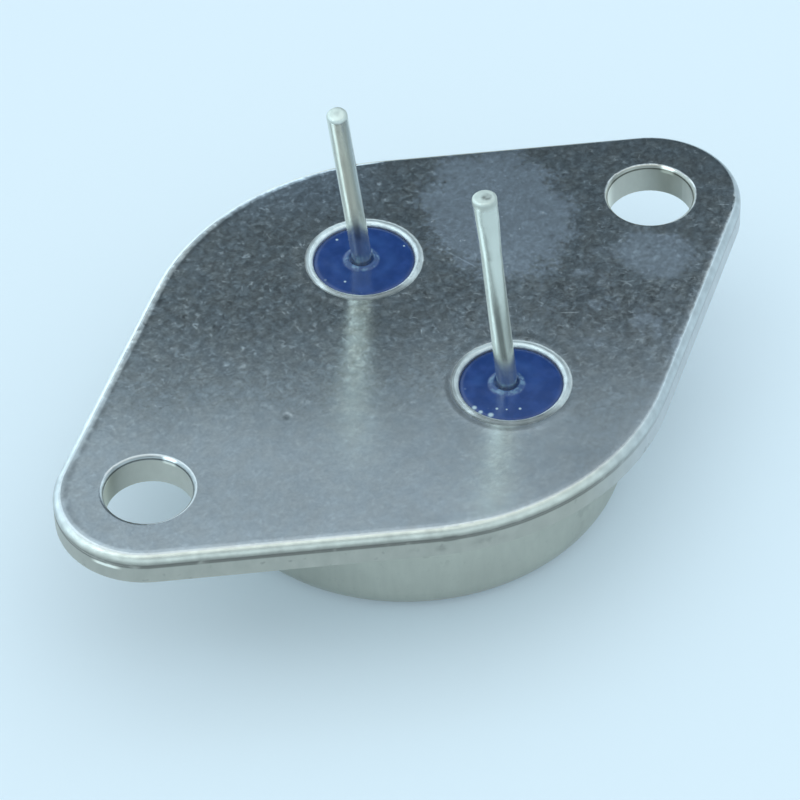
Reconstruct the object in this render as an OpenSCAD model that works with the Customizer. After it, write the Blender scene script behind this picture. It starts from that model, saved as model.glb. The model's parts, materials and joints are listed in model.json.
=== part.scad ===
// Two-pin power transistor in a diamond-flanged steel can.
// Millimetres. The origin is midway between the two mounting holes, on the face that seats
// on a heat sink. +Z points out of that face along the pins, +X to the hole nearer the pins,
// and +Y to the base pin. The can is on the -Z side.

/* [Flange] */
// Distance between the centres of the two mounting holes
hole_span = 30.15; // [28:0.05:37]
// Radius of the round middle of the flange
body_r = 12.6; // [11:0.05:15.2]
// Radius of each end of the flange, round its mounting hole
ear_r = 4.35; // [3.4:0.05:5.4]
// Thickness of the flange plate
flange_t = 1.6; // [1.2:0.05:2]
// Radius of the outer edge where the press drew the pin face down
edge_roll = 0.38; // [0.2:0.01:0.5]
// Depth of the shear line on the edge, below the pin face
shear_depth = 0.5; // [0.5:0.01:0.8]
// Width of the shear line
shear_w = 0.1; // [0.06:0.01:0.2]
// How far the shear line cuts in
shear_in = 0.05; // [0.02:0.01:0.08]
// Break of the sharp edge on the can side
edge_break = 0.08; // [0.04:0.01:0.15]
// Diameter of the mounting holes
hole_d = 4.1; // [3.4:0.01:4.9]
// Radius of the drawn-down rim of the mounting holes
hole_roll = 0.2; // [0.1:0.01:0.35]

/* [Pins and seals] */
// Distance between the two glass seals, centre to centre
pin_spacing = 10.92; // [9.5:0.01:12.5]
// Distance of the seals from the flange centre, towards the nearer mounting hole
pin_row_x = 1.815; // [1.2:0.005:2.2]
// Diameter of the glass beads
seal_d = 4.85; // [4.3:0.05:5.9]
// Width of the rounded collar that the press raised round each bead
collar_w = 0.36; // [0.34:0.01:0.5]
// Height of that collar above the pin face
collar_h = 0.06; // [0.03:0.01:0.1]
// Rounding of the collar's inner edge
collar_roll = 0.16; // [0.1:0.01:0.2]
// Depth of the glass below the pin face
glass_drop = 0.12; // [0.05:0.01:0.3]
// Depth of the glass below the can-side face
glass_drop_inside = 0.12; // [0.05:0.01:0.3]
// Radius of the glass fillet that climbs each pin
glass_fillet = 0.3; // [0.15:0.01:0.4]
// Diameter of the pins
pin_d = 0.97; // [0.85:0.01:1.15]
// Height of the pin tips above the pin face, measured along the pin
pin_l = 11.2; // [9.5:0.05:13.6]
// Rounding of the pin tips
pin_tip_r = 0.2; // [0.05:0.01:0.3]
// Straight length of pin above the glass fillet, before it bends
pin_stub = 0.06; // [0.02:0.01:0.3]
// Radius of the bend at the foot of each pin
pin_bend_r = 1.5; // [1:0.1:3]
// Where the base pin leaves its bead, from the bead's centre
base_pin_off = [-0.03, 0.15]; // [-0.3:0.01:0.3]
// Where the emitter pin leaves its bead, from the bead's centre
emitter_pin_off = [-0.12, 0.17]; // [-0.3:0.01:0.3]
// Lean of the base pin, in degrees
base_pin_lean = 11.4; // [0:0.1:15]
// Compass direction of the base pin's lean, in degrees from +X
base_pin_turn = 211; // [0:1:360]
// Lean of the emitter pin, in degrees
emitter_pin_lean = 5.4; // [0:0.1:15]
// Compass direction of the emitter pin's lean, in degrees from +X
emitter_pin_turn = 107; // [0:1:360]
// Length of the thick end that the solder dip left on the emitter pin
dip_l = 3.4; // [2.5:0.1:6]
// Length over which the dipped end thickens
dip_taper_l = 2.1; // [1:0.1:2.2]
// Diameter of the dipped end
dip_d = 1.14; // [1:0.01:1.2]
// Diameter of the heads on the inner ends of the pins
head_d = 1.8; // [1.4:0.05:2.2]
// Thickness of those heads
head_t = 0.35; // [0.2:0.05:0.5]

/* [Can] */
// Diameter of the can
can_d = 20.6; // [17:0.1:21.4]
// Height from the pin face to the top of the can
total_h = 7.8; // [6.4:0.1:9.4]
// Wall of the can
can_wall = 0.45; // [0.3:0.05:0.8]
// Outer radius of the can's rounded top corner
can_corner = 1.3; // [0.9:0.1:2.5]
// Width of the welded rim, outside the can's wall
rim_w = 0.65; // [0.3:0.05:0.9]
// Thickness of the welded rim
rim_t = 0.5; // [0.3:0.05:0.8]
// Fillet between the rim and the wall
rim_fillet = 0.3; // [0.1:0.05:0.5]

/* [Inside the can] */
// Length of the copper heat spreader, along X
spreader_l = 7; // [5.5:0.1:9]
// Clearance between the heat spreader and the glass beads
spreader_gap = 0.15; // [0.1:0.05:0.5]
// Thickness of the heat spreader
spreader_t = 1.2; // [0.8:0.1:1.8]
// Place of the heat spreader and the die along X
die_x = -0.8; // [-2:0.1:0.5]
// Thickness of the braze under the heat spreader
braze_t = 0.08; // [0.05:0.01:0.15]
// Side of the square silicon die
die_w = 4.2; // [3:0.1:4.6]
// Thickness of the die
die_t = 0.25; // [0.15:0.05:0.4]
// Thickness of the solder under the die
solder_t = 0.07; // [0.04:0.01:0.12]
// How far the braze and the solder stand out round what they hold
fillet_out = 0.12; // [0.05:0.01:0.3]
// Diameter of the aluminium bond wires
wire_d = 0.38; // [0.2:0.02:0.5]
// Height of each wire's arch over its two feet
wire_rise = 1.5; // [1:0.1:2.2]
// Length, width and thickness of a wire's flattened foot
foot = [0.9, 0.5, 0.22]; // [0.15:0.01:1.2]
// Distance between the two emitter wires where they meet the pin's head
wire_pitch = 0.7; // [0.55:0.05:0.9]

/* [Hidden] */

cut = 0.5;                        // how far a cutting shape runs past the face it cuts
round_fn = 96;                    // facets of the large rounds
small_fn = 48;                    // facets of the pins, beads and holes
bend_fn = 360;                    // facets of a full turn at the pins' bends
edge_fn = 32;                     // facets of the edge rounds
pin_r = pin_d / 2;
seal_r = seal_d / 2;
hole_r = hole_d / 2;
can_r = can_d / 2;
ear_x = hole_span / 2;
band_w = 1.6;                     // width of the band along the edge that has the rim's section
tangent_a = acos((body_r - ear_r) / ear_x);   // where the straight sides leave the rounds
side_l = ear_x * sin(tangent_a);              // length of each straight side
collar_land = 0.03;               // flat top of the collar, between its two rounds
side_inset = 0.002;               // the straight sides stand this far in, to cross the rounds
side_lap = 0.05;                  // how far they run past the tangent points
round_lap = 3.5;                  // how many degrees the rounds run past the tangent points
can_side_z = -flange_t;
spreader_z = can_side_z - braze_t;
die_solder_z = spreader_z - spreader_t;
die_z = die_solder_z - solder_t;
die_top_z = die_z - die_t;                    // the wires' feet lie in this plane
spreader_w = pin_spacing - seal_d - 2 * spreader_gap;
base_seal = [pin_row_x, pin_spacing / 2];
emitter_seal = [pin_row_x, -pin_spacing / 2];
base_post = base_seal + base_pin_off;
emitter_post = emitter_seal + emitter_pin_off;
bend_z = glass_fillet - glass_drop + pin_stub;
bend_lap = 0.05;                  // how far the straight parts run into the bend
bend_swell = 0.01;                // how much thicker the bend is, so that it holds their ends
base_pad = [die_x + 0.28 * die_w, 0.3 * die_w];
emitter_pad_a = [die_x - 0.1 * die_w, -0.28 * die_w];
emitter_pad_b = [die_x + 0.24 * die_w, -0.28 * die_w];

// Section of the flange's rim in the half plane x >= 0: a band that ends at radius r.
module rim_section(r) {
    difference() {
        union() {
            translate([r - band_w, -flange_t]) square([band_w - edge_roll, flange_t]);
            translate([r - band_w, -flange_t]) square([band_w, flange_t - edge_roll]);
            translate([r - edge_roll, -edge_roll]) circle(edge_roll, $fn = edge_fn);
        }
        polygon([
            [r + shear_in, -shear_depth + shear_w],
            [r - shear_in, -shear_depth],
            [r + shear_in, -shear_depth - shear_w]
        ]);
        polygon([
            [r - edge_break, -flange_t],
            [r + edge_break, -flange_t + 2 * edge_break],
            [r + edge_break, -flange_t - edge_break],
            [r - edge_break, -flange_t - edge_break]
        ]);
    }
}

// One round stretch of the rim: radius r, from one compass angle to another and a little past both.
module round_stretch(r, from, to) {
    rotate_extrude(angle = to - from + 2 * round_lap, start = from - round_lap, $fn = round_fn)
        rim_section(r);
}

// The straight stretch of the rim on the +X, +Y side, from the body's round to the ear's.
module straight_stretch() {
    rotate([0, 0, tangent_a]) translate([0, side_lap, 0]) rotate([90, 0, 0])
        linear_extrude(side_l + 2 * side_lap) rim_section(body_r - side_inset);
}

// The plate inside the rim. It runs a little way into the rim all round.
module plate() {
    normal = [cos(tangent_a), sin(tangent_a)];
    body_corner = (body_r - band_w / 2) * normal;
    ear_corner = [ear_x, 0] + (ear_r - band_w / 2) * normal;
    translate([0, 0, -flange_t]) linear_extrude(flange_t) {
        polygon([
            body_corner,
            ear_corner,
            [ear_corner.x, -ear_corner.y],
            [body_corner.x, -body_corner.y],
            -body_corner,
            -ear_corner,
            [-ear_corner.x, ear_corner.y],
            [-body_corner.x, body_corner.y]
        ]);
        circle(body_r - 0.75 * band_w, $fn = round_fn);
        for (side = [-1, 1])
            translate([side * ear_x, 0]) circle(ear_r - 0.75 * band_w, $fn = round_fn);
    }
}

// A hole through the flange. Its rim is drawn down from the height top, in a round of radius roll.
module pressed_hole(r, roll, top) {
    rotate_extrude($fn = small_fn) {
        translate([0, -flange_t - cut]) square([r, flange_t + top + 2 * cut]);
        difference() {
            translate([0, top - roll]) square([r + roll, roll + cut]);
            translate([r + roll, top - roll]) circle(roll, $fn = edge_fn);
        }
    }
}

// The metal of the collar round a bead's hole, before the hole is cut.
module collar_disc() {
    outer_roll = collar_w - collar_roll - collar_land;
    outer_r = seal_r + collar_w;
    rotate_extrude($fn = small_fn) {
        translate([0, -collar_w]) square([outer_r - outer_roll, collar_w + collar_h]);
        translate([0, -collar_w]) square([outer_r, collar_w + collar_h - outer_roll]);
        translate([outer_r - outer_roll, collar_h - outer_roll]) circle(outer_roll, $fn = edge_fn);
    }
}

module base_flange() {
    color([0.62, 0.66, 0.68]) difference() {
        union() {
            plate();
            round_stretch(body_r, tangent_a, 180 - tangent_a);
            round_stretch(body_r, 180 + tangent_a, 360 - tangent_a);
            translate([ear_x, 0, 0]) round_stretch(ear_r, -tangent_a, tangent_a);
            translate([-ear_x, 0, 0]) round_stretch(ear_r, 180 - tangent_a, 180 + tangent_a);
            for (mx = [0, 1], my = [0, 1])
                mirror([mx, 0, 0]) mirror([0, my, 0]) straight_stretch();
            for (at = [base_seal, emitter_seal])
                translate(at) collar_disc();
        }
        for (side = [-1, 1])
            translate([side * ear_x, 0, 0]) pressed_hole(hole_r, hole_roll, 0);
        for (at = [base_seal, emitter_seal])
            translate(at) pressed_hole(seal_r, collar_roll, collar_h);
    }
}

// The drawn can: a shell with a rounded top corner and a flat rim that is welded on.
module cap() {
    color([0.66, 0.68, 0.67]) rotate_extrude($fn = round_fn) {
        inner_r = can_r - can_wall;
        inner_corner = max(can_corner - can_wall, 0.1);
        side_h = total_h - flange_t;
        difference() {
            union() {
                translate([inner_r, -flange_t - rim_t]) square([can_wall + rim_w, rim_t]);
                translate([0, -total_h + can_corner]) square([can_r, side_h - can_corner]);
                translate([0, -total_h]) square([can_r - can_corner, can_corner]);
                translate([can_r - can_corner, -total_h + can_corner])
                    circle(can_corner, $fn = round_fn);
                difference() {
                    translate([can_r, -flange_t - rim_t - rim_fillet]) square(rim_fillet);
                    translate([can_r + rim_fillet, -flange_t - rim_t - rim_fillet])
                        circle(rim_fillet, $fn = edge_fn);
                }
            }
            translate([0, -total_h + can_corner]) square([inner_r, side_h]);
            translate([0, -total_h + can_wall]) square([inner_r - inner_corner, side_h]);
            translate([inner_r - inner_corner, -total_h + can_wall + inner_corner])
                circle(inner_corner, $fn = round_fn);
        }
    }
}

// A glass bead that fills its hole, with a fillet climbing the pin that it holds.
module seal(at, post) {
    color([0.09, 0.19, 0.5]) difference() {
        union() {
            translate([at.x, at.y, -flange_t + glass_drop_inside])
                cylinder(r = seal_r, h = flange_t - glass_drop - glass_drop_inside, $fn = small_fn);
            translate([post.x, post.y, -glass_drop])
                rotate_extrude($fn = small_fn) difference() {
                    translate([0, -glass_fillet]) square([pin_r + glass_fillet, 2 * glass_fillet]);
                    translate([pin_r + glass_fillet, glass_fillet])
                        circle(glass_fillet, $fn = edge_fn);
                }
        }
        translate([post.x, post.y, -flange_t - cut])
            cylinder(r = pin_r, h = flange_t + glass_fillet + 2 * cut, $fn = small_fn);
    }
}

module base_pin_seal() { seal(base_seal, base_post); }
module emitter_pin_seal() { seal(emitter_seal, emitter_post); }

// A pin's shaft from z = 0 up to its rounded tip at length l. A dipped one is thicker at the tip.
module pin_shaft(l, dipped) {
    tip_r = dipped ? dip_d / 2 : pin_r;
    rotate_extrude($fn = small_fn) {
        square([pin_r, l - pin_tip_r]);
        if (dipped)
            polygon([
                [0, l - dip_l],
                [pin_r, l - dip_l],
                [tip_r, l - dip_l + dip_taper_l],
                [tip_r, l - pin_tip_r],
                [0, l - pin_tip_r]
            ]);
        translate([0, l - pin_tip_r]) square([tip_r - pin_tip_r, pin_tip_r]);
        intersection() {
            translate([tip_r - pin_tip_r, l - pin_tip_r]) circle(pin_tip_r, $fn = edge_fn);
            translate([0, l - pin_tip_r]) square([tip_r, pin_tip_r]);
        }
    }
}

// A whole pin: its head in the can, its straight part in the glass, its bend and its shaft.
module pin(post, lean, turn, dipped) {
    shaft_l = pin_l - bend_z - pin_bend_r * lean * PI / 180;
    bend_r = pin_r + bend_swell;
    color([0.78, 0.8, 0.76]) translate([post.x, post.y, 0]) {
        translate([0, 0, die_top_z]) cylinder(d = head_d, h = head_t, $fn = small_fn);
        translate([0, 0, die_top_z + head_t])
            cylinder(r = pin_r, h = bend_z - die_top_z - head_t + bend_lap, $fn = small_fn);
        rotate([0, 0, turn]) translate([pin_bend_r, 0, bend_z]) {
            rotate([90, 0, 0])
                rotate_extrude(angle = lean, start = 180 - lean, $fn = bend_fn)
                    translate([pin_bend_r, 0]) circle(bend_r, $fn = small_fn);
            rotate([0, lean, 0]) translate([-pin_bend_r, 0, -bend_lap])
                pin_shaft(shaft_l + bend_lap, dipped);
        }
    }
}

module base_pin() { pin(base_post, base_pin_lean, base_pin_turn, false); }
module emitter_pin() { pin(emitter_post, emitter_pin_lean, emitter_pin_turn, true); }

// A flat plate centred on the die: l along X, w along Y, from z down by t.
module die_plate(l, w, z, t) {
    translate([die_x - l / 2, -w / 2, z - t]) cube([l, w, t]);
}

module spreader_braze() {
    color([0.75, 0.74, 0.68])
        die_plate(spreader_l + 2 * fillet_out, spreader_w + 2 * fillet_out, can_side_z, braze_t);
}
module heat_spreader() {
    color([0.72, 0.45, 0.3]) die_plate(spreader_l, spreader_w, spreader_z, spreader_t);
}
module die_solder() {
    color([0.6, 0.6, 0.62])
        die_plate(die_w + 2 * fillet_out, die_w + 2 * fillet_out, die_solder_z, solder_t);
}
module die() {
    color([0.35, 0.36, 0.4]) die_plate(die_w, die_w, die_z, die_t);
}

// An arched wire with a flattened foot at each end, both standing on the plane of the die's top.
module bond_wire(p, q) {
    chord = norm(q - p);
    arch_r = (chord * chord / 4 + wire_rise * wire_rise) / (2 * wire_rise);
    half_a = asin(chord / 2 / arch_r);
    color([0.8, 0.81, 0.82])
        translate([(p.x + q.x) / 2, (p.y + q.y) / 2, die_top_z - foot.z / 2])
            rotate([0, 0, atan2(q.y - p.y, q.x - p.x)]) {
                translate([0, 0, arch_r - wire_rise]) rotate([90, 0, 0])
                    rotate_extrude(angle = 2 * half_a, start = 270 - half_a, $fn = round_fn)
                        translate([arch_r, 0]) circle(wire_d / 2, $fn = edge_fn);
                for (end = [-1, 1])
                    translate([end * chord / 2, 0, 0]) cube(foot, center = true);
            }
}

module base_wire() { bond_wire(base_pad, base_post); }
module emitter_wire_a() { bond_wire(emitter_pad_a, emitter_post - [wire_pitch / 2, 0]); }
module emitter_wire_b() { bond_wire(emitter_pad_b, emitter_post + [wire_pitch / 2, 0]); }

base_flange();
cap();
base_pin_seal();
emitter_pin_seal();
base_pin();
emitter_pin();
spreader_braze();
heat_spreader();
die_solder();
die();
base_wire();
emitter_wire_a();
emitter_wire_b();
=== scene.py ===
"""The looks of a two-pin power transistor: plated steel case, blue glass seals and dipped pins.

Patterns and shapes are written in millimetres.
"""
import json
import math
from collections import namedtuple
from functools import reduce

import bmesh
import bpy
from mathutils import Matrix, Vector


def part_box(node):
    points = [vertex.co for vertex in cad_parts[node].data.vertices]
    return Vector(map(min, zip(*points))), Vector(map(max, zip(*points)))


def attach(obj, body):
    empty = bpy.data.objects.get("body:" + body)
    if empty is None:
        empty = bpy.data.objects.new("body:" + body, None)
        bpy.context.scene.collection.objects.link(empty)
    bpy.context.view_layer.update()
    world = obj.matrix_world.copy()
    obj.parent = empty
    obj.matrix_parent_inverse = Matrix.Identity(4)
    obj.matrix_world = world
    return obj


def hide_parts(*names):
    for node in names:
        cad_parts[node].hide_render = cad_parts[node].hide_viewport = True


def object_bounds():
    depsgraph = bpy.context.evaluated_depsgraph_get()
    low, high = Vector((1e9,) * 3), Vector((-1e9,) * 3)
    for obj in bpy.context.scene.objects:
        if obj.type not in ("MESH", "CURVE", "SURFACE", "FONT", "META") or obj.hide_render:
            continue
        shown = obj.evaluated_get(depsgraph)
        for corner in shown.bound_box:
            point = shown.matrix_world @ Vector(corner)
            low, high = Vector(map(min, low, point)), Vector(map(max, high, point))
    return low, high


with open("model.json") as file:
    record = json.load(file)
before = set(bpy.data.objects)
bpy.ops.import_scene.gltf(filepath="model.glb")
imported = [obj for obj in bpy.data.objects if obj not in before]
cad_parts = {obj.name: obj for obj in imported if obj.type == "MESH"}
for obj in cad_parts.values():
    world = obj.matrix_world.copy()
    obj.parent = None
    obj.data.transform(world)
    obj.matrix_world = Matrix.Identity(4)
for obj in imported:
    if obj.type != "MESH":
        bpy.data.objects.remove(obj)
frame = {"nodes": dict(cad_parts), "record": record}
cad_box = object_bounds()
nodes = frame["nodes"]
mounts = {m["name"]: m for m in frame["record"]["mounts"]}
scene = bpy.context.scene
MM = 0.001

# ---------------------------------------------------------------- places
PIN_NAMES = ("base_pin", "emitter_pin")
# How far above the pin face each pin starts to bend, and the radius of the bend
BEND_Z, BEND_R = 0.24, 1.5
# Level directions: away from the camera, and to its right
FAR, SIDE = Vector((0.604, 0.797, 0)), Vector((0.797, -0.604, 0))

Pin = namedtuple("Pin", "foot lean turn start tip")


def low_high(name):
    """A CAD node's lowest and highest corner in millimetres."""
    return [Vector(v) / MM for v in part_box(name)]


def middle(name):
    """The middle of a CAD node, seen along the pins."""
    low, high = low_high(name)
    return (low.x + high.x) / 2, (low.y + high.y) / 2


def pin_line(name):
    """A pin's foot in the pin face, its lean and turn, where its bend ends, and the middle of its tip."""
    axis, centre = Vector(mounts[name]["axis"]), Vector(mounts[name]["pos_m"]) / MM
    lean, turn = axis.angle(Vector((0, 0, 1))), math.atan2(axis.y, axis.x)
    start = centre - axis * ((centre.z - BEND_Z - BEND_R * math.sin(lean)) / axis.z)
    foot = start - Vector((math.cos(turn), math.sin(turn), 0)) * BEND_R * (1 - math.cos(lean))
    foot.z = 0
    tip = start + axis * ((low_high(name)[1].z - start.z) / axis.z)
    return Pin(foot, lean, turn, start, tip)


PINS = {name: pin_line(name) for name in PIN_NAMES}
WIRE_R = mounts["base_pin"]["dims"]["r_mm"]
EAR_X, BODY_R = abs(mounts["screw_hole_far"]["pos_m"][0]) / MM, cad_box[1][1] / MM
EAR_R = cad_box[1][0] / MM - EAR_X
HOLES = [tuple(c / MM for c in mounts[name]["pos_m"][:2]) for name in ("screw_hole_near", "screw_hole_far")]
SEALS = [middle(name + "_seal") for name in PIN_NAMES]


# ---------------------------------------------------------------- values and nodes
class Value:
    """A node socket, written as a number. An expression on it adds the Math nodes."""

    def __init__(self, net, socket):
        self.net, self.socket = net, socket

    def math(self, operation, *others, **settings):
        return self.net.math(operation, self, *others, **settings)

    def __add__(self, other): return self.math("ADD", other)
    def __sub__(self, other): return self.math("SUBTRACT", other)
    def __mul__(self, other): return self.math("MULTIPLY", other)
    def __truediv__(self, other): return self.math("DIVIDE", other)
    def __gt__(self, other): return self.math("GREATER_THAN", other)
    def __lt__(self, other): return self.math("LESS_THAN", other)
    def __neg__(self): return self * -1
    def __abs__(self): return self.math("ABSOLUTE")
    def __radd__(self, other): return self + other
    def __rmul__(self, other): return self * other
    def __rsub__(self, other): return self.net.math("SUBTRACT", other, self)
    def __rtruediv__(self, other): return self.net.math("DIVIDE", other, self)
    def max(self, other): return self.math("MAXIMUM", other)
    def min(self, other): return self.math("MINIMUM", other)
    def clip(self): return self.math("ADD", 0, use_clamp=True)
    def sqrt(self): return self.math("SQRT")
    def sin(self): return self.math("SINE")
    def cos(self): return self.math("COSINE")

    def step(self, low, high, lift=1.0):
        """0 below low and lift above high, with a smooth rise between. low may be the larger."""
        return self.net.add("ShaderNodeMapRange", {"interpolation_type": "SMOOTHSTEP"},
                            {"Value": self, "From Min": low, "From Max": high, "To Max": lift})

    def band(self, low, high, soft):
        """1 between low and high, and 0 outside, with edges soft wide."""
        return self.step(low - soft, low + soft) * self.step(high + soft, high - soft)


def most(values):
    """The largest of several values at each place."""
    return reduce(Value.max, values)


class Net:
    """A node tree and the one way that nodes are added to it."""

    def __init__(self, tree):
        self.tree = tree

    def node(self, kind, settings=None, inputs=None):
        """A new node: its settings first, then the value or link of each input."""
        node = self.tree.nodes.new(kind)
        for key, value in (settings or {}).items():
            setattr(node, key, value)
        for key, value in (inputs or {}).items():
            if isinstance(value, Value):
                self.tree.links.new(value.socket, node.inputs[key])
            else:
                node.inputs[key].default_value = value
        return node

    def add(self, kind, settings=None, inputs=None, out=0):
        """One output of a new node."""
        return Value(self, self.node(kind, settings, inputs).outputs[out])

    def math(self, operation, *values, **settings):
        return self.add("ShaderNodeMath", {"operation": operation, **settings}, dict(enumerate(values)))

    def vector(self, operation, *values, **inputs):
        return self.add("ShaderNodeVectorMath", {"operation": operation}, {**dict(enumerate(values)), **inputs})

    def join(self, x, y, z):
        return self.add("ShaderNodeCombineXYZ", None, {0: x, 1: y, 2: z})

    def split(self, vector):
        return [Value(self, s) for s in self.node("ShaderNodeSeparateXYZ", None, {0: vector}).outputs]

    def mix(self, factor, a, b):
        """Colour a where factor is 0 and colour b where it is 1."""
        first, second = [(*c, 1) if isinstance(c, tuple) else c for c in (a, b)]
        return self.add("ShaderNodeMix", {"data_type": "RGBA"}, {0: factor, 6: first, 7: second}, 2)

    def mix_number(self, factor, a, b):
        """a where factor is 0 and b where it is 1."""
        return self.add("ShaderNodeMix", None, {0: factor, 2: a, 3: b})

    def tint(self, color, strength):
        """A colour multiplied by a number."""
        return self.vector("SCALE", color, Scale=strength)


class Finish(Net):
    """A material's node tree, with places on the piece in millimetres."""

    def __init__(self, name, **constants):
        self.material = bpy.data.materials.new(name)
        self.material.use_nodes = True
        super().__init__(self.material.node_tree)
        self.shader = self.tree.nodes["Principled BSDF"]
        self.set(**constants)
        place = self.add("ShaderNodeTexCoord", None, None, "Object")
        self.at = self.vector("SCALE", place, Scale=1000.0)
        self.x, self.y, self.z = self.split(self.at)

    def set(self, **inputs):
        for key, value in inputs.items():
            socket = self.shader.inputs[key.replace("_", " ")]
            if isinstance(value, Value):
                self.tree.links.new(value.socket, socket)
            else:
                socket.default_value = (*value, 1) if isinstance(value, tuple) else value

    def noise(self, scale, detail=2.0, rough=0.5, at=None, out=0):
        """Even noise, about 0.5. scale counts grains in a millimetre."""
        return self.add("ShaderNodeTexNoise", None,
                        {"Vector": at or self.at, "Scale": scale, "Detail": detail, "Roughness": rough}, out)

    def cells(self, scale, at=None):
        """Distance from the middle of the nearest of many scattered cells."""
        return self.add("ShaderNodeTexVoronoi", None, {"Vector": at or self.at, "Scale": scale})

    def bump(self, height, depth):
        """Relief: height 1 stands depth millimetres above height 0."""
        return self.add("ShaderNodeBump", None, {"Height": height, "Distance": depth * MM})

    def stretched(self, x, y, z):
        """The place, scaled by a factor along each axis, for a pattern that runs one way."""
        return self.vector("MULTIPLY", self.at, (x, y, z))

    def pushed(self, scale, reach):
        """The place, pushed slowly in every direction, for a pattern that curls."""
        push = self.vector("SUBTRACT", self.noise(scale, out="Color"), (0.5, 0.5, 0.5))
        return self.vector("ADD", self.at, self.vector("SCALE", push, Scale=reach))

    def near(self, cx, cy):
        """Distance in the plane from a point, in millimetres."""
        dx, dy = self.x - cx, self.y - cy
        return (dx * dx + dy * dy).sqrt()

    def nearest(self, places):
        """Distance in the plane from the nearest of several points."""
        return reduce(Value.min, [self.near(x, y) for x, y in places])

    def toward(self, way, cx=0.0, cy=0.0):
        """How far the place lies from a point in a level direction, in millimetres."""
        return (self.x - cx) * way.x + (self.y - cy) * way.y

    def blot(self, cx, cy, length, width, turn, ragged):
        """How far inside an oval the place is: 1 at its centre and 0 on its ragged edge."""
        c, s = math.cos(math.radians(turn)), math.sin(math.radians(turn))
        dx, dy = self.x - cx, self.y - cy
        a, b = (dx * c + dy * s) / length, (dy * c - dx * s) / width
        return 1 - (a * a + b * b).sqrt() + ragged

    def scratch(self, start, end, width):
        """1 along a straight mark from start to end, fading across it."""
        length = math.dist(start, end)
        ux, uy = (end[0] - start[0]) / length, (end[1] - start[1]) / length
        dx, dy = self.x - start[0], self.y - start[1]
        along, across = dx * ux + dy * uy, abs(dy * ux - dx * uy)
        return across.step(width, width * 0.3) * along.band(0.0, length, length * 0.12)


# ---------------------------------------------------------------- plated flange
# Radii: a collar's outer edge, a screw hole's drawn rim, and the ring round a screw hole that stays clean
COLLAR_R, HOLE_RIM_R, HOLE_CLEAN_R = 2.82, 2.32, 2.3
# Heights below the pin face where the rolled edge becomes the side wall, round the outline and in a screw hole
WALL_TOP, HOLE_WALL_TOP = (-0.38, -0.46), (-0.18, -0.24)
# Heights between which painted shade lies in the shear line
SHEAR_LINE = (-0.63, -0.40)

# Warm and cool nickel, and a pale nickel that is a painted reflection on some patches and on the far rim
WARM_NICKEL, COOL_NICKEL, PALE_NICKEL = (0.575, 0.56, 0.53), (0.55, 0.562, 0.56), (0.57, 0.60, 0.635)
WARM_EDGE, COOL_EDGE = (0.62, 0.62, 0.55), (0.60, 0.64, 0.65)
WARM_WALL, COOL_WALL = (0.46, 0.455, 0.405), (0.60, 0.62, 0.63)
# The colour of grime in spots, and of painted shade in the shear line
DIRT_AND_SHADE = (0.12, 0.12, 0.11)

# Short scratches on the pin face: start, end, width and strength
SCRATCHES = (((17.05, -2.55), (17.5, -2.95), 0.07, 1.0), ((6.6, -3.4), (7.2, -3.9), 0.06, 1.0),
             ((5.20, 3.21), (5.58, 1.43), 0.05, 0.7), ((5.21, 5.04), (5.40, 3.22), 0.04, 0.5))
GOUGE = (-7.4, -0.43)
# Dark spots low on the side wall: place, outer and inner radius, strength, lower and upper end with their
# softness, and how the dapple breaks them up
WALL_SPOTS = (((-6.65, -10.70), (0.40, 0.05), 0.6, (-1.15, -1.0, 0.25), (0.3, 0.5)),
              ((-7.53, -10.10), (0.70, 0.1), 0.4, (-1.10, -0.95, 0.25), (0.3, 0.6)),
              ((-4.80, -11.65), (1.20, 0.1), 0.5, (-1.15, -0.95, 0.3), (0.4, 0.65)))


def inside_edge(f):
    """Distance in from the flange's outline: two ears and a round body, joined by straight sides."""
    lean_x = (BODY_R - EAR_R) / EAR_X
    lean_y = math.sqrt(1 - lean_x * lean_x)
    x, y = abs(f.x), abs(f.y)
    along = x * lean_y - y * lean_x
    body = BODY_R - (x * x + y * y).sqrt()
    side = BODY_R - (x * lean_x + y * lean_y)
    ear = EAR_R - ((x - EAR_X) * (x - EAR_X) + y * y).sqrt()
    return f.mix_number(along > EAR_X * lean_y, f.mix_number(along < 0, side, body), ear)


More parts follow.
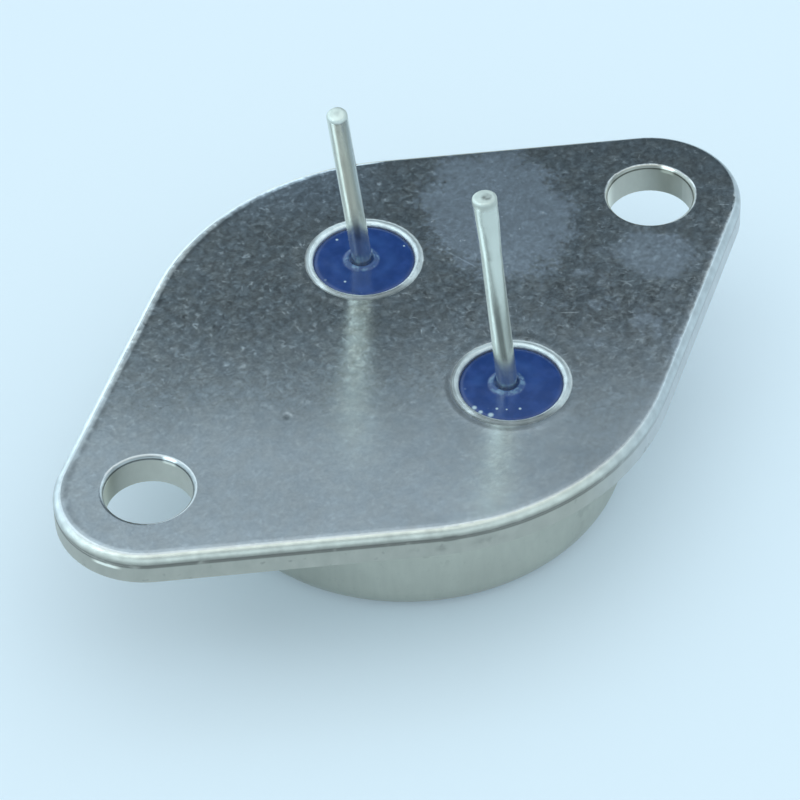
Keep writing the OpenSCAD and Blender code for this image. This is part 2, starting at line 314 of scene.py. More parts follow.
def plated_flange():
    """Dull nickel on pressed steel: pebbled and scuffed on the pin face, sheared at the edge."""
    f = Finish("plated_flange", Metallic=1.0)

    # the surfaces, each 1 inside and 0 outside
    from_seal, from_hole, inside = f.nearest(SEALS), f.nearest(HOLES), inside_edge(f)
    in_hole = from_hole < HOLE_RIM_R
    outside_holes = from_hole > HOLE_CLEAN_R
    collar = from_seal.step(COLLAR_R + 0.04, COLLAR_R - 0.04)
    face = f.z.step(-0.03, -0.008) * (1 - collar)
    wall = f.mix_number(in_hole, f.z.step(*WALL_TOP), f.z.step(*HOLE_WALL_TOP))

    # parts of the flange, named as they lie to the camera. They are set lighter, darker or cooler by place, to suit
    # this light and this side, and stay put on the flange.
    toward_far, toward_right, toward_left = f.toward(FAR), f.toward(SIDE), f.toward(-SIDE)
    far_rim = toward_far.step(7.0, 11.0) * toward_right.step(0.5, -3.0)
    near_right = toward_right.step(4.5, 8.5) * toward_far.step(5.0, 1.0)
    near_roll = toward_far.step(-4.0, -8.0) * (1 - in_hole)
    right_side = toward_right.step(7.0, 12.0) * (1 - in_hole)
    left_side = toward_left.step(5.0, 9.0) * toward_far.step(-13.0, -9.5)
    upper_left = toward_left.step(0.5, 5.0) * toward_far.step(-9.0, -4.0)

    # patches, and the near half, where the pebbling is fainter and a painted reflection makes the plating lighter
    # and cooler
    smooth_side = f.toward(-FAR).step(-3.0, 7.5)
    ragged = (f.noise(0.8, 3, 0.6) - 0.5) * 0.7 + (f.noise(3.6) - 0.5) * 0.6
    cloudy = f.noise(0.6, 3, 0.6).step(0.52, 0.66) * f.blot(9.5, -5.0, 6.0, 4.0, -60, ragged).step(0.0, 0.5)
    pale_patches = most([f.blot(8.7, 3.8, 5.3, 4.1, 65, ragged).step(0.0, 0.3),
                   f.blot(12.5, -3.3, 2.5, 1.9, -60, ragged).step(0.0, 0.4, 0.8),
                   cloudy * 0.7])
    pebbled = (1 - pale_patches * 0.58) * (1 - smooth_side * 0.8)

    # soft mottles, small curls that catch the light, dark pits, a few scratches and a gouge
    swirl = f.pushed(1.7, 0.8)
    grain = f.noise(2.8, at=swirl) * 0.8 + f.cells(2.2, swirl).step(0.5, 0.05) * 0.25
    fine = f.noise(7.0)
    worn = f.noise(0.23, 3)
    cloud = f.noise(1.0, 3, 0.6, f.stretched(1.4, 1.4, 0.8))
    dapple = f.noise(1.8)
    curl = abs(f.noise(2.0, 1, 0.4, swirl) - 0.5)
    nicks = curl.step(0.07, 0.01) * f.noise(1.9, 1).step(0.54, 0.72) * pebbled
    pits = f.cells(1.7, swirl).step(0.34, 0.1) * f.noise(0.9).step(0.5, 0.62) * pebbled
    mark = most([f.scratch(start, end, width) * strength for start, end, width, strength in SCRATCHES])
    gouge = f.near(*GOUGE).step(0.30, 0.05)

    # the pin face, in warm and cool grains, with painted light on the far rim and painted shade on the near right
    shade = (0.95 - pebbled * 0.16 + (grain - 0.47) * pebbled * 1.15 + (fine - 0.5) * (0.08 + pebbled * 0.2)
             + (worn - 0.5) * 0.30 + (f.noise(1.2) - 0.5) * 0.14
             + nicks * 0.30 - pits * 0.25 + mark * 0.2 - gouge * 0.2
             + far_rim * 0.13 - near_right * 0.17)
    cool = f.noise(1.1).step(0.35, 0.65) * (0.8 - smooth_side * 0.4) + smooth_side * 0.6
    hue = f.mix(cool, WARM_NICKEL, COOL_NICKEL)
    # the pale patches and the far rim take the pale nickel, a painted reflection
    top = f.tint(f.mix(pale_patches.max(far_rim * 0.8), hue, PALE_NICKEL), shade)
    # a thin line of painted shadow and a paler painted highlight lie outside part of the emitter pin's collar
    emitter_x, emitter_y = SEALS[1]
    halo = f.near(emitter_x - 0.12, emitter_y - 0.06)
    halo_side = f.toward(Vector((-0.99, -0.137, 0)), emitter_x, emitter_y).step(0.6, 2.2)
    shadow_line = halo.band(2.80, 3.02, 0.08) * halo_side * 0.30
    top = f.tint(top, 1 - shadow_line + halo.band(3.10, 3.55, 0.15) * halo_side * 0.06)
    top = f.tint(top, 1 - left_side * inside.band(0.45, 0.75, 0.15) * f.noise(1.5).step(0.3, 0.6, 0.3))

    # painted highlights: two glints on each hole's rim
    painted_left_glint = f.nearest([(x - 1.66, 1.25) for x, _ in HOLES]).step(1.4, 0.5)
    painted_glint = f.nearest([(x + 1.86, 0.86) for x, _ in HOLES]).step(0.42, 0.2).max(painted_left_glint * 0.6)

    # the rolled edge, the rims and the collars, with painted shade at the foot of each and on the near and left
    # flanks of the collars; the holes' rims are painted darker away from their glints, and the upper left edge
    # lighter
    painted_edge_shade = f.z.step(-0.20, -0.36, 0.35) * (1 - left_side) * (1 - right_side * 0.8)
    painted_edge_shade = f.mix_number(in_hole, painted_edge_shade, f.z.band(-0.19, -0.12, 0.02) * 0.5)
    for x, y in SEALS:
        near_flank = f.toward(FAR, x, y).step(-1.4, -2.3, 0.62) * f.near(x, y).band(2.56, 2.86, 0.03)
        left_flank = f.toward(-SIDE, x, y).step(1.5, 2.5, 0.55) * f.near(x, y).band(2.63, 2.86, 0.03)
        painted_edge_shade = most([painted_edge_shade, near_flank, left_flank])
    edge_shade = (0.66 + dapple * 0.6 + upper_left * 0.35) * (1 - painted_edge_shade) * (1 - in_hole * (0.45 - painted_glint))
    edge = f.tint(f.mix(most([right_side, collar * 0.7, left_side * 0.8]), WARM_EDGE, COOL_EDGE), edge_shade)

    # the side wall, with a painted highlight under the shear line at one ear's corner, and painted light on the
    # walls of the screw holes
    shoulder_highlight = f.near(-19.15, -2.05).step(0.9, 0.4) * f.z.band(-0.80, -0.58, 0.05)
    hole_light = 0.2 + painted_left_glint * 0.9 + painted_glint * f.z.step(-0.36, -0.30) * 0.8
    side = f.tint(f.mix(right_side, WARM_WALL, COOL_WALL), 0.84 + cloud * 0.32 + shoulder_highlight * 1.3 + in_hole * hole_light)

    # painted shade lies in the shear line, less on the right, and grime lies in spots below it
    shear_shade = f.z.band(*SHEAR_LINE, 0.05) * outside_holes * f.noise(1.3).step(0.15, 0.45, 0.72)
    shear_shade = shear_shade * (1 - right_side * 0.8)
    low_spots = [f.near(*place).step(*size, strength) * f.z.band(*height) * dapple.step(*breaks)
                 for place, size, strength, height, breaks in WALL_SPOTS]
    spots = most([f.noise(1.9).step(0.66, 0.76, 0.3), *low_spots]) * wall * outside_holes
    spots = spots.max(f.near(-6.30, -10.91).step(0.55, 0.2, 0.7) * f.z.band(-0.66, -0.36, 0.05))

    color = f.mix(wall, f.mix(face, edge, top), side)
    face_rough = 0.18 + pale_patches * 0.06 + (fine - 0.5) * 0.08 + nicks * 0.06 + smooth_side * 0.06
    edge_rough = 0.27 + cloud * 0.08 + collar * 0.18 + near_roll * 0.10
    rough = f.mix_number(wall, f.mix_number(face, edge_rough, face_rough), 0.36 + cloud * 0.1)

    face_relief = ((grain - 0.5) * 0.25 + (fine - 0.5) * 0.06 + nicks * 0.15 - pits * 0.4) * pebbled
    face_relief = face_relief - gouge * 1.2 + mark * 0.25 + from_seal.band(2.85, 3.15, 0.3) * 1.2
    edge_relief = (dapple - 0.5) * 1.6 + (f.noise(4.0, 3) - 0.5) * collar * 4.0
    relief = f.mix_number(wall, f.mix_number(face, edge_relief, face_relief), (cloud - 0.5) * 1.2)
    # the face falls away gently before it rolls over, most of all on the left
    fall = 1.6 - left_side * 0.9 + upper_left * (2.0 + toward_far.step(2.0, 9.0) * 1.5)
    f.set(Base_Color=f.mix(shear_shade.max(spots), color, DIRT_AND_SHADE), Roughness=rough,
          Normal=f.bump(relief + inside.step(0.25, 0.60) * fall, 0.008))
    return f.material


# ---------------------------------------------------------------- can, glass and wire
SATIN_NICKEL = (0.575, 0.575, 0.505)
# A smear on the can's side
SMEAR = (2.23, -10.06)

# Two tones of the glass, and a paler blue that is a painted reflection
BLUE, CLEAR_BLUE, SHEEN_BLUE = (0.005, 0.034, 0.165), (0.011, 0.05, 0.22), (0.020, 0.075, 0.27)
# Painted shade at a pin's foot and inside the steel ring
FOOT_SHADE_BLUE, RIM_SHADE_BLUE = (0.002, 0.006, 0.024), (0.004, 0.010, 0.04)
# The pale lip at a pin, and the painted glint of a bubble
LIP_BLUE, BUBBLE_GLINT_BLUE = (0.085, 0.19, 0.34), (0.36, 0.52, 0.62)
# Bubbles that broke the skin of the glass: place and radius
BUBBLES = ((-0.44, -5.52, 0.16), (-0.40, -5.93, 0.14), (-0.17, -6.38, 0.18), (0.29, -6.27, 0.09),
           (1.10, -6.96, 0.09), (1.75, 7.45, 0.09), (0.24, 4.92, 0.08), (3.92, 5.03, 0.07), (0.60, -6.60, 0.06))

TINNED = (0.76, 0.80, 0.73)
# A painted dark reflection in a thin streak on each pin: its lower and upper end, and how far it lies off the
# middle at each
PAINTED_STREAKS = (("emitter_pin", 1.4, 6.4, 0.07, -0.13), ("base_pin", 1.6, 3.7, 0.05, 0.05))


def drawn_can():
    """Satin nickel on drawn steel, with faint clouds, a few stains and painted shade round the lid's corner."""
    f = Finish("drawn_can", Metallic=1.0)
    lines = f.noise(1.0, 3, 0.6, f.stretched(2.6, 2.6, 0.5))
    cloud = f.noise(0.35, 3, 0.6)
    speck = f.noise(4.5).step(0.6, 0.75)
    fleck = f.noise(2.2).step(0.42, 0.58)
    stain = f.noise(1.3).step(0.63, 0.72) * f.z.band(-4.6, -1.7, 0.5)
    smear = f.near(*SMEAR).step(0.9, 0.1, 0.6) * f.z.band(-5.8, -4.2, 1.0) * fleck
    # painted shade on the rounded corner by the lid
    lid_corner_shade = f.z.step(-7.1, -7.75, 0.4)
    shade = (0.96 + (lines - 0.5) * 0.16 + (cloud - 0.5) * 0.28
             - stain * 0.15 - speck * 0.05 - lid_corner_shade - smear * 0.25)
    f.set(Base_Color=f.tint(SATIN_NICKEL, shade), Roughness=0.3 + lines * 0.1 + stain * 0.1,
          Normal=f.bump(lines + f.noise(5.0) * 0.4, 0.006))
    return f.material


def sealing_glass():
    """Deep blue glass, fired smooth, with clouds under its skin, a paler band round each pin that is a painted
    reflection, painted shade at each pin's foot and at the steel ring, and a few small bubbles whose glints are
    painted.
    """
    f = Finish("sealing_glass", Metallic=0.0, IOR=1.5, Specular_IOR_Level=0.5)
    from_seal, from_pin = f.nearest(SEALS), f.nearest([pin.foot.xy for pin in PINS.values()])
    cloud = f.noise(1.4, 3, 0.6)
    swirl = from_pin.band(1.15, 1.6, 0.35) * f.noise(0.5).step(0.42, 0.6)
    lip = from_pin.band(0.60, 0.84, 0.09) * (0.22 + f.noise(2.3, 3, 0.6).step(0.46, 0.60, 0.85))
    bubbles = most([f.near(x, y).step(size, 0.3 * size) for x, y, size in BUBBLES])
    specks = f.cells(1.1).step(0.11, 0.05) * f.noise(0.7).step(0.45, 0.55)
    color = f.mix(cloud.step(0.35, 0.75), BLUE, CLEAR_BLUE)
    # a paler band round each pin, a painted reflection
    color = f.mix(swirl * 0.6, color, SHEEN_BLUE)
    # painted shade at each pin's foot
    color = f.mix(from_pin.step(0.66, 0.58, 0.35), color, FOOT_SHADE_BLUE)
    color = f.mix(lip, color, LIP_BLUE)
    # painted shade just inside the steel ring
    color = f.mix(from_seal.step(2.28, 2.42, 0.5), color, RIM_SHADE_BLUE)
    # bubbles painted pale as their glints, and a few pale specks
    color = f.mix(bubbles.max(specks * 0.3) * f.z.step(-0.5, -0.4), color, BUBBLE_GLINT_BLUE)
    f.set(Base_Color=color, Roughness=0.16 + cloud * 0.1, Normal=f.bump(f.noise(0.9) + bubbles * 0.3, 0.03))
    return f.material


def pin_streak(f, name, low, high, off_low, off_high):
    """1 along a thin streak on the near side of a pin, fading at its ends."""
    foot, tip = PINS[name].foot, PINS[name].tip
    along = f.z / tip.z
    off_x = f.x - foot.x - along * (tip.x - foot.x)
    off_y = f.y - foot.y - along * (tip.y - foot.y)
    off_middle = ((f.z - low) / (high - low)).clip() * (off_high - off_low) + off_low
    across = abs(off_x * SIDE.x + off_y * SIDE.y - off_middle)
    near_half = (off_x * FAR.x + off_y * FAR.y).step(0.0, -0.2)
    ends = f.z.step(low, low + 0.6) * f.z.step(high, high - (high - low) * 0.45)
    this_pin = abs(off_x).step(1.0, 0.8) * abs(off_y).step(1.0, 0.8)
    return across.step(0.20, 0.05) * near_half * ends * this_pin


def dipped_wire():
    """Bright solder over wire, with slow ripples along it, a painted dark reflection in a streak, and dull cut
    ends.
    """
    f = Finish("dipped_wire", Metallic=1.0)
    ripple = f.noise(1.0, 2, 0.5, f.stretched(1.5, 1.5, 0.3))
    fine = f.noise(1.0, 3, 0.6, f.stretched(4, 4, 1.2))
    base_tip, emitter_tip = [PINS[name].tip for name in PIN_NAMES]
    end = min(base_tip.z, emitter_tip.z)
    tip = f.z.step(end - 0.4, end - 0.05)
    stain = f.near(*base_tip.xy).step(0.2, 0.05, 0.1).max(
        f.near(emitter_tip.x + 0.06, emitter_tip.y - 0.10).step(0.32, 0.12, 0.4))
    stain = stain * tip * (0.5 + f.noise(3.0, 1).step(0.42, 0.58, 0.7))
    painted_streak = most([pin_streak(f, *streak) for streak in PAINTED_STREAKS])
    # the streak is a painted dark reflection
    shade = 0.90 + f.z.step(2.0, 1.2) * 0.1 + (ripple - 0.5) * 0.25 - tip * 0.12 - stain - painted_streak * 0.42
    f.set(Base_Color=f.tint(TINNED, shade), Roughness=0.19 + fine * 0.08 + tip * (0.27 + fine * 0.16),
          Normal=f.bump(ripple + fine * 0.15 + tip * f.noise(3.0) * 1.5, 0.02))
    return f.material


def plain_metal(name, color, rough):
    """An inner piece: one metal with a fine, even grain."""
    f = Finish(name, Metallic=1.0)
    grain = f.noise(6.0, 3, 0.6)
    f.set(Base_Color=f.tint(color, 0.85 + grain * 0.3), Roughness=rough + (grain - 0.5) * 0.15,
          Normal=f.bump(grain, 0.01))
    return f.material


glass_finish, wire_finish = sealing_glass(), dipped_wire()
bond_finish = plain_metal("bond_wire", (0.85, 0.86, 0.87), 0.25)
finishes = {
    "base_flange": plated_flange(), "cap": drawn_can(),
    "base_pin_seal": glass_finish, "emitter_pin_seal": glass_finish,
    "base_pin": wire_finish, "emitter_pin": wire_finish,
    "spreader_braze": plain_metal("braze", (0.72, 0.68, 0.55), 0.5),
    "heat_spreader": plain_metal("copper", (0.74, 0.42, 0.28), 0.35),
    "die_solder": plain_metal("solder", (0.55, 0.56, 0.57), 0.4),
    "die": plain_metal("silicon", (0.20, 0.21, 0.25), 0.15),
    "base_wire": bond_finish, "emitter_wire_a": bond_finish, "emitter_wire_b": bond_finish,
}
for name, node in nodes.items():
    node.data.materials.clear()
    node.data.materials.append(finishes[name])


# ---------------------------------------------------------------- pins
WIRE_INPUTS = {
    "Foot": "Vector", "Bottom": "Float", "Head Radius": "Float", "Head Height": "Float", "Radius": "Float",
    "Bend Height": "Float", "Bend Radius": "Float", "Lean": "Float", "Turn": "Float", "Shaft Length": "Float",
    "Dip Length": "Float", "Dip Taper": "Float", "Dip Radius": "Float", "Tip Round": "Float",
    "Lumps": "Float", "Seed": "Float", "Rings": "Int", "Sides": "Int", "Finish": "Material"}
# Shares of the rows of the grid: the wire ends at the first, the rounding of its tip at the second, and the flat
# end face takes the rest. The foot of the wire closes in the last.
WIRE_END, ROUND_END, FOOT_ROW = 0.86, 0.95, 0.0005
# How far the middle of the end face stands above its rim
END_SWELL = 0.02


def wire_pin_tree():
    """A bent wire with a flat head, a thicker dipped end and a rounded tip.

    A flat grid is wrapped round the bent centre line. Its inputs are in millimetres and radians.
    """
    tree = bpy.data.node_groups.new("wire_pin", "GeometryNodeTree")
    net = Net(tree)
    tree.interface.new_socket("Geometry", in_out="OUTPUT", socket_type="NodeSocketGeometry")
    for name, kind in WIRE_INPUTS.items():
        tree.interface.new_socket(name, in_out="INPUT", socket_type="NodeSocket" + kind)
    group = net.node("NodeGroupInput")
    (foot, bottom, head_r, head_h, wire_r, bend_z, bend_r, lean, turn, shaft, dip_l, taper, dip_r, tip_r,
     lumps, seed, rings, sides, finish) = [Value(net, group.outputs[name]) for name in WIRE_INPUTS]

    grid = net.add("GeometryNodeMeshGrid", None,
                   {"Size X": 1.0, "Size Y": 1.0, "Vertices X": sides, "Vertices Y": rings})
    across_grid, up_grid, _ = net.split(net.add("GeometryNodeInputPosition"))
    round_angle = (across_grid + 0.5) * (2 * math.pi)
    row = up_grid + 0.5
    plain_part = (row / WIRE_END).clip()
    rounding = ((row - WIRE_END) / (ROUND_END - WIRE_END)).clip() * (math.pi / 2)
    end_face = ((row - ROUND_END) / (1 - ROUND_END)).clip()
    closing = (row / FOOT_ROW).clip()

    # the centre line: straight, then the bend, then the leaning shaft
    straight = bend_z - bottom
    bend_l = bend_r * lean
    along = plain_part * (straight + bend_l + shaft - tip_r)
    angle = ((along - straight) / bend_l).clip() * lean
    up_straight, up_shaft = along.min(straight), (along - straight - bend_l).max(0.0)

    # the radius: wire, solder dip and head, with lumps that grow towards the dip
    dipped = ((up_shaft - shaft + dip_l) / taper).clip()
    body_r = wire_r + (dip_r - wire_r) * dipped
    body_r = body_r + (head_r - body_r) * (along < head_h)
    skin = net.join(round_angle.cos(), round_angle.sin(), along * 0.8)
    lump = net.add("ShaderNodeTexNoise", {"noise_dimensions": "4D"},
                   {"Vector": skin, "W": seed, "Scale": 0.9, "Detail": 2.0, "Roughness": 0.45}) - 0.5
    swell = 1 + lump * lumps * (0.35 + dipped) * up_shaft.step(0.0, 1.0)
    ring_r = (body_r * swell - tip_r * (1 - rounding.cos())) * (1 - end_face) * closing
    rise = tip_r * rounding.sin() + end_face * END_SWELL

    # each ring's place: out and height lie in the plane of the bend, and aside lies square to it
    out = bend_r * (1 - angle.cos()) + (up_shaft + rise) * angle.sin()
    height = bottom + up_straight + bend_r * angle.sin() + (up_shaft + rise) * angle.cos()
    across, aside = ring_r * round_angle.cos(), ring_r * round_angle.sin()
    flat = out + across * angle.cos()
    cos_t, sin_t = turn.cos(), turn.sin()
    local = net.join(flat * cos_t - aside * sin_t, flat * sin_t + aside * cos_t, height - across * angle.sin())
    place = net.vector("SCALE", net.vector("ADD", foot, local), Scale=MM)

    moved = net.add("GeometryNodeSetPosition", None, {"Geometry": grid, "Position": place})
    closed = net.add("GeometryNodeMergeByDistance", None, {"Geometry": moved, "Distance": 1e-7})
    smooth = net.add("GeometryNodeSetShadeSmooth", None, {"Geometry": closed})
    real = net.add("GeometryNodeRealizeInstances", None, {"Geometry": smooth})
    done = net.add("GeometryNodeSetMaterial", None, {"Geometry": real, "Material": finish})
    net.node("NodeGroupOutput", None, {0: done})
    return tree


def grow(name, tree, **inputs):
    """The mesh that a geometry tree makes, as a piece of its own with no modifier left on it."""
    holder = bpy.data.objects.new(name + "_holder", bpy.data.meshes.new(name + "_holder"))
    scene.collection.objects.link(holder)
    modifier = holder.modifiers.new("tree", "NODES")
    modifier.node_group = tree
    for item in tree.interface.items_tree:
        if item.in_out == "INPUT":
            modifier[item.identifier] = inputs[item.name.replace(" ", "_")]
    bpy.context.view_layer.update()
    mesh = bpy.data.meshes.new_from_object(holder.evaluated_get(bpy.context.evaluated_depsgraph_get()))
    holder.modifiers.remove(modifier)
    bpy.data.objects.remove(holder)
    mesh.name = name
    return placed(name, mesh)


def placed(name, mesh):
    """An object at the origin that holds a mesh."""
    piece = bpy.data.objects.new(name, mesh)
    scene.collection.objects.link(piece)
    return piece


def outward(piece):
    """Turns every face of a closed piece to point out of it."""
    work = bmesh.new()
    work.from_mesh(piece.data)
    bmesh.ops.recalc_face_normals(work, faces=work.faces)
    if work.calc_volume(signed=True) < 0:
        bmesh.ops.reverse_faces(work, faces=work.faces)
    work.to_mesh(piece.data)
    work.free()


HEAD_R, HEAD_H = 0.9, 0.35
WIRE_RINGS, WIRE_SIDES = 420, 65
# How far the highest point of a tip stays under the top of its CAD pin
TIP_GAP = 0.025
# Each pin's solder: length of the dip and of its taper, its radius, the rounding of the tip, the height of the
# lumps as a share of the radius, and the seed of their pattern
DIPS = (("base_pin", 4.0, 3.0, 0.49, 0.22, 0.05, 3.0), ("emitter_pin", 3.4, 2.1, 0.565, 0.14, 0.045, 8.0))
wire_pin = wire_pin_tree()
for name, dip_length, dip_taper, dip_radius, tip_round, lumps, seed in DIPS:
    foot, lean, turn, start, _ = PINS[name]
    low, high = low_high(name)
    # the highest point of a leaning tip is on the upper side of its rounding
    above = (max(dip_radius, WIRE_R) - tip_round) * math.sin(lean) + tip_round
    shaft = (high.z - start.z - above) / math.cos(lean) + tip_round - TIP_GAP
    piece = grow(name + "_wire", wire_pin, Foot=foot, Bottom=low.z, Head_Radius=HEAD_R, Head_Height=HEAD_H,
                 Radius=WIRE_R, Bend_Height=BEND_Z, Bend_Radius=BEND_R, Lean=lean, Turn=turn, Shaft_Length=shaft,
                 Dip_Length=dip_length, Dip_Taper=dip_taper, Dip_Radius=dip_radius, Tip_Round=tip_round,
                 Lumps=lumps, Seed=seed, Rings=WIRE_RINGS, Sides=WIRE_SIDES, Finish=wire_finish)
    outward(piece)
    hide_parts(name)
    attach(piece, "root")


# ---------------------------------------------------------------- glass beads
# Height of the glass, how far it domes, and how far its underside is hollowed
GLASS_TOP, DOME, HOLLOW = -0.12, 0.05, 0.02
# The collar of glass that climbs the pin: its height, its distance from the pin and its spread
LIP_H, LIP_AT, LIP_SPREAD = 0.11, 0.17, 0.12
# The drop at the steel ring: its depth and its width
RIM_DROP, RIM_DROP_W = 0.05, 0.25
BEAD_SIDES, BEAD_STEPS = 128, 48


def glass_bead(name, centre, radius, foot, hole_r, low):
    """A bead that fills its hole, round the pin that it holds."""
    turns = [2 * math.pi * i / BEAD_SIDES for i in range(BEAD_SIDES)]
    ways = [Vector((math.cos(turn), math.sin(turn), 0)) for turn in turns]

    def top(place):
        """Domed between ring and pin, with a rounded lip at the pin and a drop at the ring."""
        from_centre = (place - centre).length
        from_pin = (place - foot).length - hole_r
        dome = DOME * (1 - (from_centre / radius) ** 2)
        lip = LIP_H * math.exp(-((from_pin - LIP_AT) / LIP_SPREAD) ** 2)
        drop = RIM_DROP * max(0.0, 1 - (radius - from_centre) / RIM_DROP_W) ** 2
        return GLASS_TOP + dome + lip - drop

    def layer(height):
        """Rings of points from the pin out to the steel ring, closer together at both."""
        points = []
        for j in range(BEAD_STEPS + 1):
            u = j / BEAD_STEPS
            u = u * u * (3 - 2 * u)
            for way in ways:
                place = (foot + way * hole_r).lerp(centre + way * radius, u)
                place.z = height(place, u)
                points.append(place * MM)
        return points

    def corner(side, j, i):
        return (side * (BEAD_STEPS + 1) + j) * BEAD_SIDES + i % BEAD_SIDES

    verts = layer(lambda place, u: top(place)) + layer(lambda place, u: low + HOLLOW * math.sin(math.pi * u))
    faces, rim = [], BEAD_STEPS
    for i in range(BEAD_SIDES):
        for j in range(BEAD_STEPS):
            faces.append((corner(0, j, i), corner(0, j + 1, i), corner(0, j + 1, i + 1), corner(0, j, i + 1)))
            faces.append((corner(1, j, i), corner(1, j, i + 1), corner(1, j + 1, i + 1), corner(1, j + 1, i)))
        faces.append((corner(0, rim, i), corner(1, rim, i), corner(1, rim, i + 1), corner(0, rim, i + 1)))
        faces.append((corner(0, 0, i), corner(0, 0, i + 1), corner(1, 0, i + 1), corner(1, 0, i)))
    mesh = bpy.data.meshes.new(name)
    mesh.from_pydata(verts, [], faces)
    mesh.materials.append(glass_finish)
    mesh.shade_smooth()
    piece = placed(name, mesh)
    outward(piece)
    return piece


for name in PIN_NAMES:
    low, high = low_high(name + "_seal")
    centre = (low + high) / 2
    centre.z = 0
    bead = glass_bead(name + "_bead", centre, (high.x - low.x) / 2, PINS[name].foot, WIRE_R, low.z)
    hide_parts(name + "_seal")
    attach(bead, "root")


# ---------------------------------------------------------------- floor
# Pale blue card lies under the object and reaches this many metres each way. The glow evens out its colour.
CARD, CARD_GLOW = (0.66, 0.84, 0.955), 0.18
FLOOR_REACH = 1.6


def shown(net):
    """1 for rays that show the surroundings, straight or in metal or glass, and 0 for light."""
    return most([net.add("ShaderNodeLightPath", None, None, name)
                 for name in ("Is Camera Ray", "Is Glossy Ray", "Is Transmission Ray")])


mesh = bpy.data.meshes.new("floor")
corners = [(x * FLOOR_REACH, y * FLOOR_REACH, cad_box[0][2]) for x, y in ((-1, -1), (1, -1), (1, 1), (-1, 1))]
mesh.from_pydata(corners, [], [(0, 1, 2, 3)])
floor = placed("floor", mesh)
f = Finish("pale_floor", Roughness=0.75, Base_Color=CARD)
glow = f.add("ShaderNodeEmission", None, {"Color": (*CARD, 1), "Strength": 1.0})
blend = f.add("ShaderNodeMixShader", None, {0: shown(f) * CARD_GLOW, 1: Value(f, f.shader.outputs[0]), 2: glow})
f.tree.links.new(blend.socket, f.tree.nodes["Material Output"].inputs["Surface"])
mesh.materials.append(f.material)


# ---------------------------------------------------------------- light
WALL_COLOR, OPENING_COLOR = tuple(c / 0.9 for c in CARD), (0.64, 0.95, 1.20)
# Strengths that the camera, metal and glass see, over a plain sky of SKY. The light itself doesn't have them.
# The window and the lamp are brighter than white, for the glints on edges and pins.
SKY, OPENING_DARK, PERSON_DARK, WINDOW_LIGHT, LAMP_LIGHT = 0.86, 0.80, 0.6, 0.85, 3.5


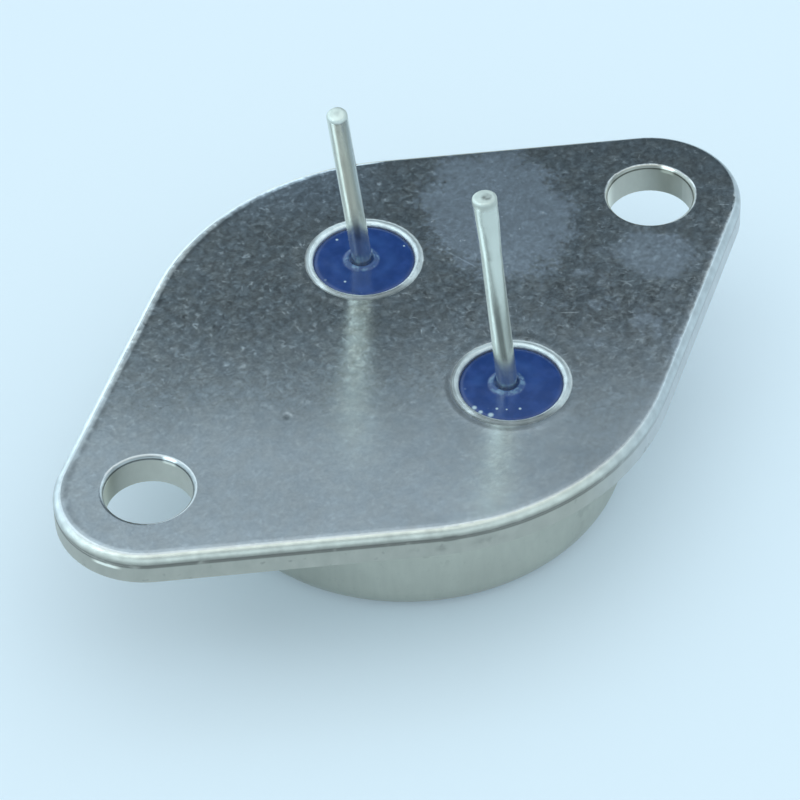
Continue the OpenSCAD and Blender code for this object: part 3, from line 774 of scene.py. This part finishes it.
def room():
    """The world: an even sky for light, and a room with windows for metal and glass to show."""
    world = bpy.data.worlds.new("room")
    scene.world = world
    world.use_nodes = True
    sky = Net(world.node_tree)
    dx, dy, dz = sky.split(sky.add("ShaderNodeTexCoord", None, None, "Generated"))
    level = (dx * dx + dy * dy).sqrt().max(0.001)
    far = (dx * FAR.x + dy * FAR.y) / level
    right_hand = (dx * SIDE.x + dy * SIDE.y) / level

    def facing(x, y, z):
        """Cosine of the angle between a ray and a direction."""
        return dx * x + dy * y + dz * z

    # a dark opening beyond the object
    opening = far.step(0.1, 0.5) * right_hand.band(-0.15, 0.46, 0.06) * dz.band(-0.1, 0.9, 0.06)
    # a window on the left, a low one beside the opening, and a small lamp on the left
    window = right_hand.step(-0.14, -0.4) * far.step(-0.6, 0.0) * dz.band(-0.05, 0.80, 0.1)
    low_window = right_hand.step(-0.035, -0.085) * far.step(0.0, 0.4) * dz.band(-0.05, 0.40, 0.08)
    lamp = facing(-0.559, 0.173, 0.81).step(0.972, 0.99)
    # the near side is brighter low down and a little darker higher up, with two people standing there
    near_side = far.step(0.2, -0.6) * (dz.band(0.74, 0.94, 0.1) * 0.4 - dz.band(0.10, 0.72, 0.12) * 2.1)
    people = most([facing(-0.51, -0.39, 0.767).step(0.962, 0.988, 1.15),
                   facing(-0.31, -0.725, 0.615).step(0.965, 0.985)])

    dark_opening = opening * (1 - low_window)
    reflected = (SKY + dz.step(0.5, 0.9, 0.08)) * (1 - dark_opening * OPENING_DARK) * (1 - near_side * 0.27)
    reflected = reflected - people * PERSON_DARK + window.max(low_window) * WINDOW_LIGHT + lamp * LAMP_LIGHT
    even = 0.84 + window * 0.1 + right_hand * 0.08
    seen = sky.mix(dark_opening, WALL_COLOR, OPENING_COLOR)
    color = sky.mix(shown(sky), (1.0, 1.0, 1.0), seen)
    strength = sky.mix_number(shown(sky), even, reflected)
    background = world.node_tree.nodes["Background"]
    world.node_tree.links.new(sky.tint(color, strength).socket, background.inputs["Color"])


def softbox(name, place, aim, size, turn, strength, color):
    """A soft lamp, hidden from the camera: its place, aim and size in millimetres and its turn in degrees."""
    lamp = bpy.data.lights.new(name, "AREA")
    lamp.shape, lamp.size, lamp.size_y = "RECTANGLE", size[0] * MM, size[1] * MM
    lamp.energy = strength * math.pi * size[0] * size[1] * MM * MM
    lamp.color = color
    box = placed(name, lamp)
    way = (Vector(place) - Vector(aim)).to_track_quat("Z", "Y").to_matrix().to_4x4()
    box.matrix_world = Matrix.Translation(Vector(place) * MM) @ way @ Matrix.Rotation(math.radians(turn), 4, "Z")
    box.visible_camera = False


room()
softbox("overhead", (0, 0, 175), (0, 0, 0), (205, 205), 52.85, 0.62, (0.98, 1.0, 0.96))
softbox("far_card", FAR * 75 + Vector((0, 0, 125)), Vector((0, 0, 125)), (220, 80), 21, 0.48, (0.79, 1.0, 1.18))

# ---------------------------------------------------------------- camera
AZIMUTH, ELEVATION, ROLL = math.radians(-37.145), math.radians(45.117), math.radians(-2.438)
DISTANCE = 216.563 * MM
AIM = Vector((-2.803, -3.004, 0)) * MM
LENS, SENSOR = 211.41, 36
NEAREST_SEEN, FARTHEST_SEEN = 0.01, 10
back = Vector((math.sin(AZIMUTH) * math.cos(ELEVATION), -math.cos(AZIMUTH) * math.cos(ELEVATION),
               math.sin(ELEVATION)))
right = Vector((math.cos(AZIMUTH), math.sin(AZIMUTH), 0))
up = right.cross(-back)
right, up = math.cos(ROLL) * right + math.sin(ROLL) * up, -math.sin(ROLL) * right + math.cos(ROLL) * up
lens = bpy.data.cameras.new("camera")
lens.lens, lens.sensor_width = LENS, SENSOR
lens.clip_start, lens.clip_end = NEAREST_SEEN, FARTHEST_SEEN
camera = placed("camera", lens)
camera.matrix_world = Matrix((
    (right.x, up.x, back.x, 0), (right.y, up.y, back.y, 0), (right.z, up.z, back.z, 0), (0, 0, 0, 1)))
camera.location = AIM + back * DISTANCE
scene.camera = camera
scene.view_settings.view_transform = "Standard"
